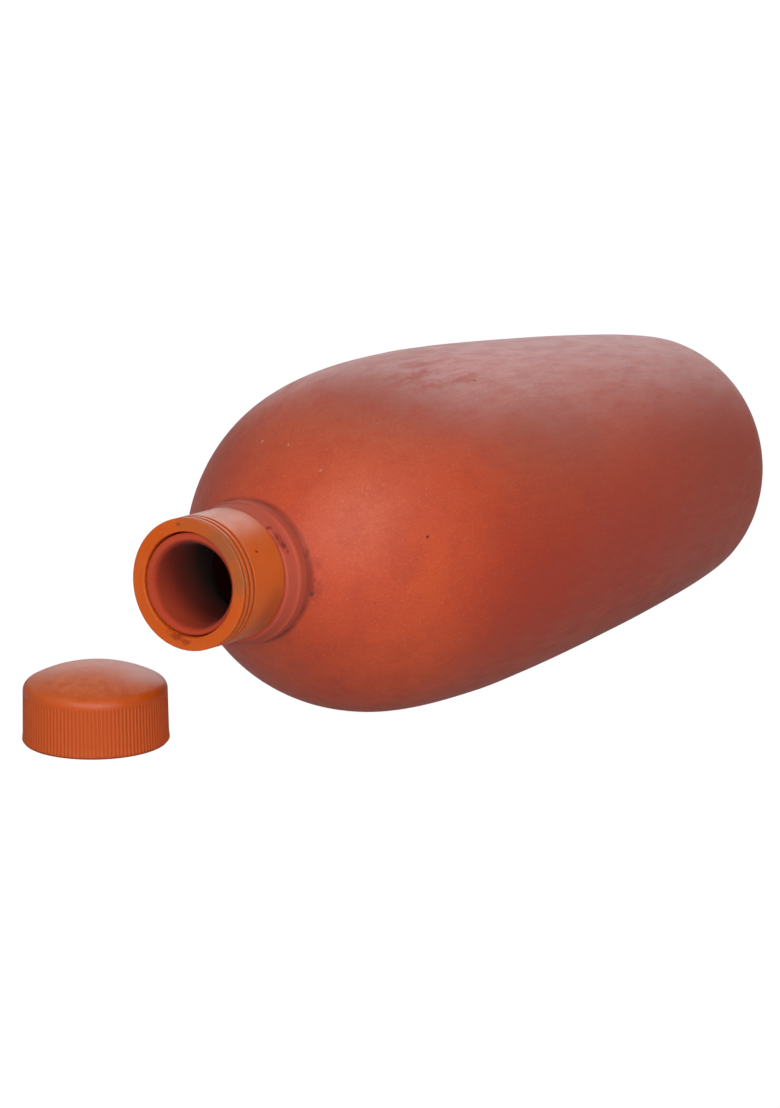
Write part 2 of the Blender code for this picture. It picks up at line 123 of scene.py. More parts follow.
def buildTurnedTree():
    # turns profile points (radius, mark, height) about Z; where the mark is above 0 the piece takes
    # ribs and its shift aside, and where it is below 0 it takes the thread
    tree = bpy.data.node_groups.new("turned piece", "GeometryNodeTree")
    face = tree.interface
    face.new_socket("Geometry", in_out="OUTPUT", socket_type="NodeSocketGeometry")
    face.new_socket("Geometry", in_out="INPUT", socket_type="NodeSocketGeometry")
    sizes = ("Rib Depth", "Rib Low", "Rib High", "Rib Fade", "Thread Pitch", "Thread Depth",
             "Thread Low", "Thread High", "Thread Fade", "Groove Width", "Aside X", "Aside Y", "Lean",
             "Lean Low", "Lean High", "Unevenness", "Uneven Scale", "Seed")
    kinds = {"Profile": "Object", "Columns": "Int", "Rib Count": "Int", "Material": "Material"}
    for name in ("Profile", "Columns", "Rib Count", *sizes, "Material"):
        kind = "NodeSocket" + kinds.get(name, "Float")
        face.new_socket(name, in_out="INPUT", socket_type=kind)
    given = tree.nodes.new("NodeGroupInput").outputs
    known = {name: given[name] for name in ("Columns", "Rib Count", *sizes)}
    profile = addNode(tree, "GeometryNodeObjectInfo", None, {"Object": given["Profile"]}, "Geometry")
    known["rows"] = addNode(tree, "GeometryNodeAttributeDomainSize", None, {"Geometry": profile},
                            "Point Count")
    known["index"] = addNode(tree, "GeometryNodeInputIndex")
    place = addNode(tree, "GeometryNodeInputPosition")
    point = addNode(tree, "GeometryNodeSampleIndex", {"data_type": "FLOAT_VECTOR", "domain": "POINT"},
                    {"Geometry": profile, "Value": place})
    parts = addNode(tree, "ShaderNodeSeparateXYZ", None, {0: point}).node.outputs
    known["radius"], known["mark"], known["height"] = parts
    # each row is a name, an operation and its operands; a text operand is an input or an earlier row
    steps = (
        ("gridColumns", "ADD", "Columns", 1.0),
        ("row", "MODULO", "index", "rows"),
        ("past", "SUBTRACT", "index", "row"),
        ("columnRaw", "DIVIDE", "past", "rows"),
        ("column", "ROUND", "columnRaw"),
        ("turns", "DIVIDE", "column", "Columns"),
        ("angle", "MULTIPLY", "turns", math.tau),
        ("cosine", "COSINE", "angle"),
        ("sine", "SINE", "angle"),
        ("upper", "MAXIMUM", "mark", 0.0),
        ("downwards", "MULTIPLY", "mark", -1.0),
        ("lower", "MAXIMUM", "downwards", 0.0),
        # ribs: broad rounded crests with narrower grooves between them, fading at both ends
        ("ribAngle", "MULTIPLY", "angle", "Rib Count"),
        ("wave", "COSINE", "ribAngle"),
        ("evenTrough", "MULTIPLY_ADD", "wave", 0.5, 0.5),
        ("trough", "POWER", "evenTrough", 1.3),  # above 1 the grooves are narrower than the crests
        ("ribStart", "ADD", "Rib Low", "Rib Fade"),
        ("ribEnd", "SUBTRACT", "Rib High", "Rib Fade"),
        ("ribFoot", "RAMP", "height", "Rib Low", "ribStart"),
        ("ribHead", "RAMP", "height", "Rib High", "ribEnd"),
        ("ribZone", "MULTIPLY", "ribFoot", "ribHead"),
        ("ribShape", "MULTIPLY", "trough", "ribZone"),
        ("ribCut", "MULTIPLY", "ribShape", "upper"),
        # thread: a groove that climbs one pitch a turn and runs out at both ends
        ("above", "SUBTRACT", "height", "Thread Low"),
        ("below", "SUBTRACT", "Thread High", "height"),
        ("pitches", "DIVIDE", "above", "Thread Pitch"),
        ("climb", "SUBTRACT", "pitches", "turns"),
        ("climbed", "ADD", "climb", 8.0),  # whole pitches that keep the sum above 0
        ("phase", "FRACT", "climbed"),
        ("centred", "SUBTRACT", "phase", 0.5),
        ("away", "ABSOLUTE", "centred"),
        ("grooveFloor", "MULTIPLY", "Groove Width", 0.4),
        ("grooveShape", "RAMP", "away", "Groove Width", "grooveFloor"),
        ("toEnd", "MINIMUM", "above", "below"),
        ("runout", "RAMP", "toEnd", 0.0, "Thread Fade"),
        ("grooveFaded", "MULTIPLY", "grooveShape", "runout"),
        ("threadCut", "MULTIPLY", "grooveFaded", "lower"),
        ("groove", "ADD", "ribCut", "threadCut"),
        ("ribDip", "MULTIPLY", "ribCut", "Rib Depth"),
        ("threadDip", "MULTIPLY", "threadCut", "Thread Depth"),
        ("dip", "ADD", "ribDip", "threadDip"),
        ("turned", "SUBTRACT", "radius", "dip"),
        ("across", "MULTIPLY", "turned", "cosine"),
        ("upright", "MULTIPLY", "turned", "sine"),
        ("x", "MULTIPLY_ADD", "upper", "Aside X", "across"),
        ("y", "MULTIPLY_ADD", "upper", "Aside Y", "upright"),
        # lean: the end of the neck isn't cut square
        ("leanShare", "RAMP", "height", "Lean Low", "Lean High"),
        ("leanMost", "MULTIPLY", "leanShare", "Lean"),
        ("leanHere", "MULTIPLY", "leanMost", "cosine"),
        ("z", "SUBTRACT", "height", "leanHere"),
    )
    for name, operation, *operands in steps:
        values = [known[operand] if isinstance(operand, str) else operand for operand in operands]
        if operation == "RAMP":
            known[name] = addNode(tree, "ShaderNodeMapRange", {"interpolation_type": "SMOOTHSTEP"},
                                  dict(zip(("Value", "From Min", "From Max"), values)))
        else:
            known[name] = addNode(tree, "ShaderNodeMath", {"operation": operation},
                                  dict(enumerate(values)))
    tree.links.new(known["row"], point.node.inputs["Index"])
    shape = addNode(tree, "GeometryNodeMeshGrid", None, {
        "Size X": 1.0, "Size Y": 1.0, "Vertices X": known["gridColumns"],
        "Vertices Y": known["rows"]}, "Mesh")
    shape = addNode(tree, "GeometryNodeStoreNamedAttribute", {"data_type": "FLOAT", "domain": "POINT"},
                    {"Geometry": shape, "Name": "groove", "Value": known["groove"]})
    moved = addNode(tree, "ShaderNodeCombineXYZ", None, {0: known["x"], 1: known["y"], 2: known["z"]})
    shape = addNode(tree, "GeometryNodeSetPosition", None, {"Geometry": shape, "Position": moved})
    # hand-finished unevenness, always towards the axis
    lumps = addNode(tree, "ShaderNodeTexNoise", {"noise_dimensions": "4D"}, {
        "Vector": place, "W": known["Seed"], "Scale": known["Uneven Scale"], "Detail": 2.0})
    depth = addNode(tree, "ShaderNodeMapRange", None, {
        "Value": lumps, "From Min": 0.3, "From Max": 0.7, "To Max": known["Unevenness"]})
    inwards = addNode(tree, "ShaderNodeVectorMath", {"operation": "MULTIPLY"}, {
        0: place, 1: (-1, -1, 0)})
    inwards = addNode(tree, "ShaderNodeVectorMath", {"operation": "NORMALIZE"}, {0: inwards})
    inwards = addNode(tree, "ShaderNodeVectorMath", {"operation": "SCALE"}, {0: inwards, "Scale": depth})
    shape = addNode(tree, "GeometryNodeSetPosition", None, {"Geometry": shape, "Offset": inwards})
    shape = addNode(tree, "GeometryNodeMergeByDistance", None, {"Geometry": shape, "Distance": weld})
    shape = addNode(tree, "GeometryNodeRealizeInstances", None, {"Geometry": shape})
    shape = addNode(tree, "GeometryNodeSetMaterial", None, {
        "Geometry": shape, "Material": given["Material"]})
    addNode(tree, "NodeGroupOutput", None, {"Geometry": shape})
    return tree


turnedTree = buildTurnedTree()


def turnPiece(name, profile, place, material, inputs):
    # runs the tree on a profile and keeps the result as a plain mesh, put in its place
    line = bpy.data.meshes.new(name + "Profile")
    line.from_pydata(profile, [(i, i + 1) for i in range(len(profile) - 1)], [])
    profileObject = bpy.data.objects.new(name + "Profile", line)
    carrier = bpy.data.objects.new(name + "Carrier", bpy.data.meshes.new(name + "Carrier"))
    for thing in (profileObject, carrier):
        bpy.context.scene.collection.objects.link(thing)
    modifier = carrier.modifiers.new("turned", "NODES")
    modifier.node_group = turnedTree
    values = {"Profile": profileObject, "Material": material, "Rib Fade": 0.001,
              "Thread Pitch": 0.002, "Thread Fade": 0.001, "Groove Width": 0.3, "Uneven Scale": 30.0,
              "Lean Low": 0.0, "Lean High": 1.0}
    values.update(inputs)
    for item in turnedTree.interface.items_tree:
        if item.in_out == "INPUT" and item.name in values:
            modifier[item.identifier] = values[item.name]
    bpy.context.view_layer.update()
    evaluated = carrier.evaluated_get(bpy.context.evaluated_depsgraph_get())
    mesh = bpy.data.meshes.new_from_object(evaluated)
    carrier.modifiers.clear()
    for thing in (carrier, profileObject):
        bpy.data.objects.remove(thing, do_unlink=True)
    mesh.name = name
    mesh.transform(place)
    shell = bmesh.new()
    shell.from_mesh(mesh)
    bmesh.ops.remove_doubles(shell, verts=shell.verts, dist=weld)
    bmesh.ops.recalc_face_normals(shell, faces=shell.faces)
    shell.to_mesh(mesh)
    shell.free()
    mesh.shade_smooth()
    mesh.set_sharp_from_angle(angle=math.radians(50))
    if not mesh.materials:
        mesh.materials.append(material)
    piece = bpy.data.objects.new(name, mesh)
    bpy.context.scene.collection.objects.link(piece)
    print(name, len(mesh.polygons), "faces")
    return piece


def newMaterial(name, roughness, ior, specular):
    material = bpy.data.materials.new(name)
    material.use_nodes = True
    shader = material.node_tree.nodes["Principled BSDF"]
    shader.inputs["Roughness"].default_value = roughness
    shader.inputs["IOR"].default_value = ior
    shader.inputs["Specular IOR Level"].default_value = specular
    return material, material.node_tree, shader


def addPlace(tree, location, rotation):
    # the place on the piece as if it stood at the origin: all of it, its Y, its Z and its radius
    place = addNode(tree, "ShaderNodeTexCoord", None, None, "Object")
    local = addNode(tree, "ShaderNodeMapping", {"vector_type": "TEXTURE"},
                    {"Vector": place, "Location": location, "Rotation": rotation})
    x, y, z = addNode(tree, "ShaderNodeSeparateXYZ", None, {0: local}).node.outputs
    level = addNode(tree, "ShaderNodeCombineXYZ", None, {0: x, 1: y})
    radius = addNode(tree, "ShaderNodeVectorMath", {"operation": "LENGTH"}, {0: level}, "Value")
    return local, y, z, radius


def addSpot(tree, local, middle, reach, core):
    # a soft ellipsoid: 1 in its core, which is a share of its reach, and 0 beyond the reach
    space = addNode(tree, "ShaderNodeMapping", {"vector_type": "TEXTURE"},
                    {"Vector": local, "Location": middle, "Scale": reach})
    away = addNode(tree, "ShaderNodeVectorMath", {"operation": "LENGTH"}, {0: space}, "Value")
    return addNode(tree, "ShaderNodeMapRange", {"interpolation_type": "SMOOTHSTEP"},
                   {"Value": away, "From Min": 1.0, "From Max": core})


def layTone(tree, colour, tone, area, strength):
    # lays a tone over the colour, as far as the area says
    share = addNode(tree, "ShaderNodeMath", {"operation": "MULTIPLY"}, {0: area, 1: strength})
    return addNode(tree, "ShaderNodeMix", {"data_type": "RGBA"}, {
        0: share, 6: colour, 7: linear(tone)}, 2)


def layNoises(tree, colour, noises, rows):
    # clouds or streaks the colour; rows are noise, from, to, strength, tone
    for name, low, high, strength, tone in rows:
        area = addNode(tree, "ShaderNodeMapRange", None, {
            "Value": noises[name], "From Min": low, "From Max": high})
        colour = layTone(tree, colour, tone, area, strength)
    return colour


def layMarks(tree, colour, height, local, marks, core):
    # single marks, each with its tone and depth; also gives the areas that they take
    wander = 0.0008  # metres that a mark's edge strays at random, which makes it ragged
    noise = addNode(tree, "ShaderNodeTexNoise", None, {
        "Vector": local, "Scale": 1200.0, "Detail": 2.0}, "Color")
    ragged = addNode(tree, "ShaderNodeVectorMath", {"operation": "MULTIPLY_ADD"}, {
        0: noise, 1: (2 * wander,) * 3, 2: local})
    ragged = addNode(tree, "ShaderNodeVectorMath", {"operation": "SUBTRACT"}, {
        0: ragged, 1: (wander,) * 3})
    spots = []
    for middle, reach, tone, strength, depth in marks.values():
        spot = addSpot(tree, ragged, middle, reach, core)
        colour = layTone(tree, colour, tone, spot, strength)
        height = addNode(tree, "ShaderNodeMath", {"operation": "MULTIPLY_ADD"}, {
            0: spot, 1: -depth, 2: height})
        spots.append(spot)
    return colour, height, spots


# clay body, of terracotta: fired red clay, turned, then burnished by hand with a stone along the
# body, which leaves a satin skin with fine lengthwise streaks, softly clouded colour, and small pits
# and nicks
body = {
    # shape, in metres from the foot; points are radius and height, and corners have a rounding too
    "belly": (0.0486, 0.1389), "footEdge": (0.0378, 0.0138), "footReach": 0.0107, "flankSlope": 0.185,
    "flankPulls": (0.0274, 0.0147), "shoulderTop": (0.0166, 0.2281), "shoulderAngle": 39.2,
    "shoulderPulls": (0.0438, 0.0479), "wall": 0.0056, "crease": (0.0190, 0.2252, 0.0003),
    "creaseGap": 0.0004, "flange": (0.0193, 0.2288, 0.0015), "flangeDip": (0.0187, 0.2296, 0.0050),
    "flangeFront": (0.0179, 0.2333, 0.0006), "flangeStep": 0.0008, "neck": 0.01378, "throat": 0.0108,
    "lip": 0.0022, "lipHeight": 0.2514, "lipRoundings": (0.0005, 0.0012), "mouthLength": 0.007,
    "mouthRounding": 0.02, "throatFoot": 0.0028, "throatRounding": 0.004, "lean": 0.0010,
    "leanDepths": (0.006, 0.001), "aside": (-0.00042, 0.00042), "unevenness": 0.0002,
    "unevenScale": 22.0, "seed": 4.0, "inset": 0.0001,
    # rows of the mesh; the cavity takes one point in so many of the flank's
    "columns": 288, "footRows": 16, "flankRows": 50, "cavityThinning": 3,
    # looks
    "colour": "#B84528", "ior": 1.45, "specular": 0.40, "bump": 0.35,
    "sheen": 0.05, "sheenRoughness": 0.17, "sheenTint": "#ECE6FF",
    # roughness of the skin from smooth to worn, and what the streaks add; then that of the collar,
    # of chips, pits and stains, and of the throat
    "roughness": (0.40, 0.475), "wornNoise": (0.42, 0.64), "streakRoughness": 0.13,
    "collarRoughness": 0.66, "brokenRoughness": 0.80, "throatRoughness": 0.9,
    "streakHeight": 0.00004, "grainHeight": 0.00006,
    # noises, as name: size in mm, how much longer along the body, detail, roughness
    "noises": {
        "cloud": (34.0, 1, 3.0, 0.45), "mottle": (8.0, 1, 4.0, 0.6), "streak": (0.7, 20, 3.0, 0.55),
        "grain": (0.5, 1, 2.0, 0.5), "worn": (3.6, 3.2, 6.0, 0.68),
    },
    # tones that the noises give, as noise, from, to, strength, colour; the ground lies under the
    # zones and the tones lie over them
    "ground": (("cloud", 0.35, 0.65, 1.0, "#C04C2A"),),
    "tones": (
        ("mottle", 0.48, 0.72, 0.42, "#A63A28"), ("streak", 0.45, 0.75, 0.22, "#9A3A28"),
        ("worn", 0.50, 0.66, 0.38, "#B0422A"), ("grain", 0.55, 0.80, 0.35, "#9A3A28"),
        ("grain", 0.40, 0.26, 0.20, "#DE9478"),
    ),
    # soft areas of another tone, as name: middle, reach, colour, strength; metres from the foot; some of
    # them are painted light, as said at each
    "zoneCore": 0.1,
    "zones": {
        "smokyBand": ((0.034, 0.032, 0.135), (0.030, 0.025, 0.055), "#96503E", 0.40),
        "fireBlush": ((0.047, -0.008, 0.150), (0.034, 0.034, 0.060), "#AE2E0E", 0.85),
        "deepRed": ((0.044, -0.004, 0.096), (0.034, 0.034, 0.062), "#AE2E0E", 0.80),
        # painted sheen: the upper side of the shoulder paler, as the lamps' sheen on it
        "paintedSheenShoulder": ((0.010, 0.034, 0.190), (0.040, 0.034, 0.042), "#BA5638", 0.75),
        # painted highlight: the key lamp's glint on the shoulder, laid in as a paler tone
        "paintedHighlight": ((0.0245, 0.0160, 0.2110), (0.0200, 0.0200, 0.0170), "#CE6C4C", 0.40),
        "orangePatch": ((0.038, -0.001, 0.1985), (0.015, 0.017, 0.012), "#C24C22", 0.6),
        "footShade": ((0.030, 0.010, 0.030), (0.060, 0.060, 0.075), "#9E3820", 0.65),
        # painted sheen: the top greyer, as the lamps' pinkish-grey sheen along it
        "paintedSheenTop": ((0.014, 0.041, 0.176), (0.034, 0.020, 0.042), "#98564A", 0.6),
    },
    # dirt and painted shade in the narrow valley behind the flange, which the mottling breaks up; the
    # heights are where it starts, is full, thins and ends
    "valleyDirtAndShade": "#64221A", "valleyDirtAndShadeHeights": (0.2236, 0.2250, 0.2256, 0.2262), "valleyDirtAndShadeNoise": (0.3, 0.6),
    "valleyDirtAndShadeShare": (0.25, 0.85),
    # heights past which the burnishing stone doesn't reach, as name: from, to, colour, strength
    "unburnished": {
        "collar": (0.2248, 0.2258, "#B04A36", 0.8), "lip": (0.2338, 0.2348, "#A8340E", 0.8),
    },
    # the throat is raw clay with the potter's turning rings, and painted shade darkens it with depth;
    # the shade is painted lighter on its lower side, so the depths are taken aslant, as from, to, colour
    "throatRadii": (0.0125, 0.0118), "throatHeights": (0.15, 0.16), "throatShadeSlant": -0.62,
    "throatPaintedShade": ((0.2538, 0.2430, "#741E0E"), (0.2460, 0.2315, "#28140E")), "throatShadeShare": 0.92,
    "turningScale": 700.0, "turningSquash": 0.1, "turningShare": 0.2,
    # sparse pits in the fired skin; their spacing is in mm and their sizes are shares of it
    "pitSpacing": 11.0, "pitSizes": (0.01, 0.055), "pitsLeftOut": 0.2, "pitCore": 0.4,
    "pit": "#5C241A", "pitShare": 0.7, "pitDepth": 0.00012,
    # rubbed or stained patches that a noise breaks up, as name: middle, reach, colour, strength
    "brokenNoise": (0.42, 0.66), "brokenMatt": 0.6,
    "patches": {
        "rubbedTop": ((0.0140, 0.0455, 0.1600), (0.0150, 0.0110, 0.0260), "#B0341C", 0.6),
        "rubbedFlank": ((0.0400, 0.0220, 0.1750), (0.0160, 0.0160, 0.0220), "#C2461E", 0.5),
        # a stain together with painted shade, in the crease behind the flange
        "creaseStainAndShade": ((0.0200, -0.0010, 0.2238), (0.0032, 0.0110, 0.0032), "#7E2A1A", 0.8),
    },
    # single small marks, as name: middle, reach, colour, strength, depth
    "markCore": 0.4,
    "marks": {
        "darkPit": ((0.0377, 0.0099, 0.1971), (0.0006, 0.0006, 0.0006), "#4A1E14", 0.9, 0.00030),
        "palePit": ((0.0195, -0.0419, 0.1775), (0.0008, 0.0008, 0.0006), "#D89A80", 0.8, 0.00015),
        "palePitShade": ((0.0188, -0.0434, 0.1716), (0.0006, 0.0006, 0.0005), "#6A2A1C", 0.8, 0.00020),
        "creaseShade": ((0.0194, 0.0000, 0.2245), (0.0014, 0.0070, 0.0012), "#8A2C1A", 0.50, 0.0),
        "nickOne": ((-0.0086, 0.0313, 0.2075), (0.0004, 0.0006, 0.0018), "#D08C74", 0.7, 0.00010),
        "nickTwo": ((0.0004, 0.0317, 0.2086), (0.0004, 0.0005, 0.0012), "#D08C74", 0.6, 0.00010),
        "nickThree": ((0.0126, 0.0267, 0.2116), (0.0005, 0.0006, 0.0010), "#CC8068", 0.6, 0.00010),
        "shoulderNick": ((0.0179, 0.0069, 0.2249), (0.0007, 0.0020, 0.0016), "#7A3428", 0.7, 0.00015),
        "shoulderSmudge": ((0.0193, -0.0037, 0.2242), (0.0009, 0.0012, 0.0010), "#50302A", 0.7, 0.0),
        "flangeStain": ((0.0142, 0.0112, 0.2322), (0.0036, 0.0044, 0.0016), "#8A2A20", 0.6, 0.0),
        "chipOne": ((0.0110, 0.0141, 0.2328), (0.0011, 0.0008, 0.0016), "#7A241C", 0.9, 0.00020),
        "chipTwo": ((0.0152, 0.0101, 0.2318), (0.0010, 0.0016, 0.0012), "#7A241C", 0.9, 0.00025),
        "chipThree": ((0.0138, 0.0120, 0.2324), (0.0013, 0.0008, 0.0009), "#84281E", 0.8, 0.00015),
        "chipFour": ((0.0163, 0.0084, 0.2314), (0.0006, 0.0011, 0.0008), "#84281E", 0.8, 0.00015),
    },
}


def buildClay():
    look = body
    smooth, worn = look["roughness"]
    material, tree, shader = newMaterial("burnished terracotta", smooth, look["ior"], look["specular"])
    local, y, z, radius = addPlace(tree, lie["foot"], lyingTurn)
    noises = {}
    for name, (size, stretch, detail, roughness) in look["noises"].items():
        space = addNode(tree, "ShaderNodeMapping", {"vector_type": "POINT"}, {
            "Vector": local, "Scale": (1, 1, 1 / stretch)})
        noises[name] = addNode(tree, "ShaderNodeTexNoise", None, {
            "Vector": space, "Scale": perMetre / size, "Detail": detail, "Roughness": roughness})
    colour = layNoises(tree, linear(look["colour"]), noises, look["ground"])
    for middle, reach, tone, strength in look["zones"].values():
        spot = addSpot(tree, local, middle, reach, look["zoneCore"])
        colour = layTone(tree, colour, tone, spot, strength)
    colour = layNoises(tree, colour, noises, look["tones"])
    # dirt and painted shade behind the flange
    starts, full, thins, ends = look["valleyDirtAndShadeHeights"]
    rising = addNode(tree, "ShaderNodeMapRange", {"interpolation_type": "SMOOTHSTEP"}, {
        "Value": z, "From Min": starts, "From Max": full})
    falling = addNode(tree, "ShaderNodeMapRange", {"interpolation_type": "SMOOTHSTEP"}, {
        "Value": z, "From Min": ends, "From Max": thins})
    (low, high), (least, most) = look["valleyDirtAndShadeNoise"], look["valleyDirtAndShadeShare"]
    patchy = addNode(tree, "ShaderNodeMapRange", None, {
        "Value": noises["mottle"], "From Min": low, "From Max": high, "To Min": least, "To Max": most})
    valley = addNode(tree, "ShaderNodeMath", {"operation": "MULTIPLY"}, {0: rising, 1: falling})
    valleyDirtAndShadeArea = addNode(tree, "ShaderNodeMath", {"operation": "MULTIPLY"}, {0: valley, 1: patchy})
    colour = layTone(tree, colour, look["valleyDirtAndShade"], valleyDirtAndShadeArea, 1.0)
    # collar and lip
    unburnished = {}
    for name, (low, high, tone, strength) in look["unburnished"].items():
        unburnished[name] = addNode(tree, "ShaderNodeMapRange", None, {
            "Value": z, "From Min": low, "From Max": high})
        colour = layTone(tree, colour, tone, unburnished[name], strength)
    # throat: painted shade, deeper inwards and broken by the turning rings
    squash = look["turningSquash"]
    ringSpace = addNode(tree, "ShaderNodeMapping", {"vector_type": "POINT"}, {
        "Vector": local, "Scale": (squash, squash, 1)})
    turning = addNode(tree, "ShaderNodeTexNoise", None, {
        "Vector": ringSpace, "Scale": look["turningScale"], "Detail": 2.0})
    outside, inside = look["throatRadii"]
    within = addNode(tree, "ShaderNodeMapRange", None, {
        "Value": radius, "From Min": outside, "From Max": inside})
    low, high = look["throatHeights"]
    inFront = addNode(tree, "ShaderNodeMapRange", None, {"Value": z, "From Min": low, "From Max": high})
    inThroat = addNode(tree, "ShaderNodeMath", {"operation": "MULTIPLY"}, {0: within, 1: inFront})
    aslant = addNode(tree, "ShaderNodeMath", {"operation": "MULTIPLY_ADD"}, {
        0: y, 1: look["throatShadeSlant"], 2: z})
    for start, end, tone in look["throatPaintedShade"]:
        deep = addNode(tree, "ShaderNodeMapRange", None, {
            "Value": aslant, "From Min": start, "From Max": end, "To Max": look["throatShadeShare"]})
        deep = addNode(tree, "ShaderNodeMath", {"operation": "MULTIPLY_ADD"}, {
            0: turning, 1: look["turningShare"], 2: deep})
        colour = layTone(tree, colour, tone, inThroat, deep)
    height = addNode(tree, "ShaderNodeMath", {"operation": "MULTIPLY"}, {
        0: noises["streak"], 1: look["streakHeight"]})
    height = addNode(tree, "ShaderNodeMath", {"operation": "MULTIPLY_ADD"}, {
        0: noises["grain"], 1: look["grainHeight"], 2: height})
    # pits: each cell of the pattern has one, of its own size
    cells = addNode(tree, "ShaderNodeTexVoronoi", None, {
        "Vector": local, "Scale": perMetre / look["pitSpacing"]}).node.outputs
    chosen = addNode(tree, "ShaderNodeSeparateColor", None, {0: cells["Color"]})
    smallest, largest = look["pitSizes"]
    size = addNode(tree, "ShaderNodeMapRange", None, {
        "Value": chosen, "From Min": look["pitsLeftOut"], "To Min": smallest, "To Max": largest})
    core = addNode(tree, "ShaderNodeMath", {"operation": "MULTIPLY"}, {0: size, 1: look["pitCore"]})
    pit = addNode(tree, "ShaderNodeMapRange", {"interpolation_type": "SMOOTHSTEP"}, {
        "Value": cells["Distance"], "From Min": size, "From Max": core})
    colour = layTone(tree, colour, look["pit"], pit, look["pitShare"])
    height = addNode(tree, "ShaderNodeMath", {"operation": "MULTIPLY_ADD"}, {
        0: pit, 1: -look["pitDepth"], 2: height})
    # patches and marks, which are matt as well
    matt = pit
    low, high = look["brokenNoise"]
    broken = addNode(tree, "ShaderNodeMapRange", {"interpolation_type": "SMOOTHSTEP"}, {
        "Value": noises["worn"], "From Min": low, "From Max": high})
    for middle, reach, tone, strength in look["patches"].values():
        spot = addSpot(tree, local, middle, reach, look["zoneCore"])
        area = addNode(tree, "ShaderNodeMath", {"operation": "MULTIPLY"}, {0: spot, 1: broken})
        colour = layTone(tree, colour, tone, area, strength)
        dull = addNode(tree, "ShaderNodeMath", {"operation": "MULTIPLY"}, {
            0: area, 1: strength * look["brokenMatt"]})
        matt = addNode(tree, "ShaderNodeMath", {"operation": "MAXIMUM"}, {0: matt, 1: dull})
    colour, height, spots = layMarks(tree, colour, height, local, look["marks"], look["markCore"])
    for spot in spots:
        matt = addNode(tree, "ShaderNodeMath", {"operation": "MAXIMUM"}, {0: matt, 1: spot})
    tree.links.new(colour, shader.inputs["Base Color"])
    low, high = look["wornNoise"]
    roughness = addNode(tree, "ShaderNodeMapRange", None, {
        "Value": noises["worn"], "From Min": low, "From Max": high, "To Min": smooth, "To Max": worn})
    roughness = addNode(tree, "ShaderNodeMath", {"operation": "MULTIPLY_ADD"}, {
        0: noises["streak"], 1: look["streakRoughness"], 2: roughness})
    for area, value in ((unburnished["collar"], look["collarRoughness"]),
                        (matt, look["brokenRoughness"]), (inThroat, look["throatRoughness"])):
        roughness = addNode(tree, "ShaderNodeMix", {"data_type": "FLOAT"}, {
            0: area, 2: roughness, 3: value})
    tree.links.new(roughness, shader.inputs["Roughness"])
    # a trace of fine dust on the skin, which lifts the tone a little towards the outline
    shader.inputs["Sheen Weight"].default_value = look["sheen"]
    shader.inputs["Sheen Roughness"].default_value = look["sheenRoughness"]
    shader.inputs["Sheen Tint"].default_value = linear(look["sheenTint"])
    bump = addNode(tree, "ShaderNodeBump", None, {
        "Height": height, "Strength": look["bump"], "Distance": 1.0})
    tree.links.new(bump, shader.inputs["Normal"])
    return material


def clayProfile():
    b = body
    slope, (edgeR, edgeZ) = b["flankSlope"], b["footEdge"]
    flatR = edgeR - slope * edgeZ - b["footReach"]
    lowPull, highPull = b["flankPulls"]
    low, high = b["shoulderPulls"]
    bellyR, bellyZ = b["belly"]
    topR, topZ = b["shoulderTop"]
    angle = math.radians(b["shoulderAngle"])
    k = 0.5523  # handle length that makes a quarter round
    flank = bezier((flatR, 0), (flatR + k * b["footReach"], 0),
                   (edgeR - slope * k * edgeZ, edgeZ - k * edgeZ), (edgeR, edgeZ), b["footRows"])
    flank += bezier((edgeR, edgeZ), (edgeR + slope * lowPull, edgeZ + lowPull),
                    (bellyR, bellyZ - highPull), (bellyR, bellyZ), b["flankRows"])[1:]
    shoulderPull = (topR + math.sin(angle) * high, topZ - math.cos(angle) * high)
    flank += bezier((bellyR, bellyZ), (bellyR, bellyZ + low), shoulderPull, (topR, topZ),
                    b["flankRows"])[1:]
    inside = []
    for i, point in enumerate(flank):
        before, after = Vector(flank[max(i - 1, 0)]), Vector(flank[min(i + 1, len(flank) - 1)])
        along = (after - before).normalized()
        inside.append((point[0] - along.y * b["wall"], point[1] + along.x * b["wall"]))
    floorR, floorZ = inside[0]
    cavity = [p for p in inside if p[0] > b["throat"] and p[1] > floorZ][::-b["cavityThinning"]]
    rim = b["lipHeight"]
    outerRounding, innerRounding = b["lipRoundings"]
    corners = [(0, 0, 0, 0, 0.006)]
    corners += [(r, z, 0, 0, whole) for r, z in flank if z < b["crease"][1] - b["creaseGap"]]
    corners += [
        (*b["crease"], 0, whole),
        (*b["flange"], 0, b["flangeStep"]),
        (*b["flangeDip"], 0, b["flangeStep"]),
        (*b["flangeFront"], 0, b["flangeStep"]),
        (b["neck"], b["flangeFront"][1], 0.0, 1, 0.004),
        (b["neck"], rim, outerRounding, 1, 0.0004),
        (b["neck"] - b["lip"], rim, innerRounding, 0, 0.001),
        (b["throat"], rim - b["mouthLength"], b["mouthRounding"], 0, 0.004),
        (b["throat"], cavity[0][1] + b["throatFoot"], b["throatRounding"], 0, 0.002),
    ]
    corners += [(r, z, 0, 0, whole) for r, z in cavity]
    corners += [(floorR, floorZ, 0, 0, 0.008), (0, floorZ, 0, 0, whole)]
    return [(max(r * flat - b["inset"], 0), mark, z) for r, mark, z in roundedPath(corners, False)]


clay = buildClay()
clayBody = turnPiece("clayBody", clayProfile(), bottlePlace, clay, {
    "Columns": body["columns"], "Aside X": body["aside"][0], "Aside Y": body["aside"][1],
    "Lean": body["lean"], "Lean Low": body["lipHeight"] - body["leanDepths"][0],
    "Lean High": body["lipHeight"] - body["leanDepths"][1], "Unevenness": body["unevenness"],
    "Uneven Scale": body["unevenScale"], "Seed": body["seed"]})
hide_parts("clay_body")
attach(clayBody, "bottle")


